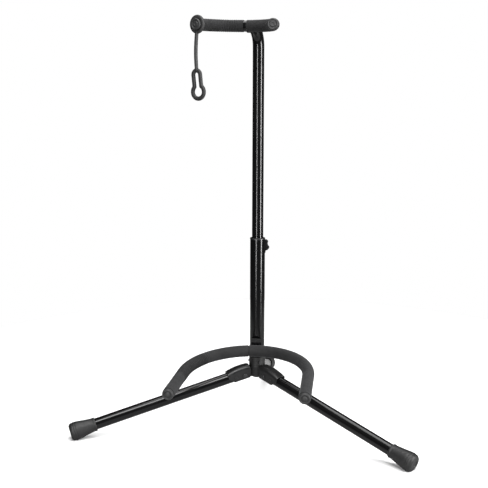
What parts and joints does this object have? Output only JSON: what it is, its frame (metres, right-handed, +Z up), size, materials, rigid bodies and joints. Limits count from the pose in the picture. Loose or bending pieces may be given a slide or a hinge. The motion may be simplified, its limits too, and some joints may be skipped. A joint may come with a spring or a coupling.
{
  "type": "guitar stand",
  "caption": "Folding tubular tripod guitar stand with sliding mast, foam-covered body cradle and neck yoke, rubber neck strap and rubber boots.",
  "frame": {"origin": "on the floor, under the centre of the stand's overall box at rest; the mast's axis is 60 mm from it towards the front and 8 mm to the right", "axes": "+Z up along the mast, -Y towards the guitar side, +X to the right of a person facing the stand"},
  "size_m": [0.5738, 0.5278, 0.6874],
  "materials": {
    "tube_paint": "gloss black stove enamel on steel tube",
    "bracket_paint": "satin black paint on stamped steel",
    "black_fastener": "black zinc plated steel fasteners",
    "hub_plastic": "matte black moulded nylon",
    "knob_plastic": "semi-gloss black moulded plastic",
    "foam": "soft black closed-cell foam rubber",
    "cap_rubber": "matte black rubber",
    "boot_rubber": "matte dark grey rubber",
    "strap_rubber": "matte black moulded rubber"
  },
  "bodies": {
    "mast": {"lower_tube": "tube_paint", "mast_collar": "knob_plastic", "clamp_boss": "hub_plastic", "leg_hub": "hub_plastic", "hub_cap": "hub_plastic", "hub_screw": "black_fastener", "collar_screws": "black_fastener", "cradle_rod": "bracket_paint", "cradle_sleeve_left": "foam", "cradle_sleeve_right": "foam", "cradle_cap_left": "cap_rubber", "cradle_cap_right": "cap_rubber", "cradle_spacer": "black_fastener", "cradle_insert": "black_fastener", "cradle_bolt": "black_fastener", "cradle_washer": "black_fastener"},
    "leg_front_left": {"leg_tube_front_left": "tube_paint", "leg_bracket_front_left": "bracket_paint", "pivot_pin_front_left": "black_fastener", "leg_rivet_front_left": "black_fastener", "leg_boot_front_left": "boot_rubber"},
    "leg_front_right": {"leg_tube_front_right": "tube_paint", "leg_bracket_front_right": "bracket_paint", "pivot_pin_front_right": "black_fastener", "leg_rivet_front_right": "black_fastener", "leg_boot_front_right": "boot_rubber"},
    "leg_rear": {"leg_tube_rear": "tube_paint", "leg_bracket_rear": "bracket_paint", "pivot_pin_rear": "black_fastener", "leg_rivet_rear": "black_fastener", "leg_boot_rear": "boot_rubber"},
    "height_slider": {"guide_plug": "hub_plastic"},
    "yoke_post": {"upper_tube": "tube_paint", "yoke_rod": "bracket_paint", "yoke_sleeve_left": "foam", "yoke_sleeve_right": "foam", "yoke_cap_left": "cap_rubber", "yoke_cap_right": "cap_rubber"},
    "neck_strap": {"neck_strap": "strap_rubber"},
    "knob": {"clamp_knob": "knob_plastic", "knob_screw": "black_fastener"}
  },
  "joints": [
    {"name": "leg_front_left_fold", "type": "hinge", "parent": "mast", "child": "leg_front_left", "pos_m": [-0.01399, -0.07008, 0.08853], "axis": [0.4384, -0.8988, 0], "range_deg": [0, 75]},
    {"name": "leg_front_right_fold", "type": "hinge", "parent": "mast", "child": "leg_front_right", "pos_m": [0.02817, -0.07229, 0.08853], "axis": [0.5299, 0.848, 0], "range_deg": [0, 75]},
    {"name": "leg_rear_fold", "type": "hinge", "parent": "mast", "child": "leg_rear", "pos_m": [0.00539, -0.03547, 0.08853], "axis": [-0.9954, -0.0958, 0], "range_deg": [0, 75]},
    {"name": "height_slide", "type": "slide", "parent": "mast", "child": "height_slider", "axis": [0, 0, 1], "range_m": [-0.064, 0.06]},
    {"name": "yoke_turn", "type": "hinge", "parent": "height_slider", "child": "yoke_post", "pos_m": [0.0077, -0.0595, 0.238], "axis": [0, 0, 1], "continuous": true},
    {"name": "strap_swing", "type": "hinge", "parent": "yoke_post", "child": "neck_strap", "pos_m": [-0.07017, -0.16551, 0.67285], "axis": [-0.3778, -0.9259, 0.0033], "continuous": true},
    {"name": "knob_turn", "type": "hinge", "parent": "mast", "child": "knob", "pos_m": [0.0077, -0.0295, 0.3075], "axis": [0, 1, 0], "continuous": true}
  ]
}
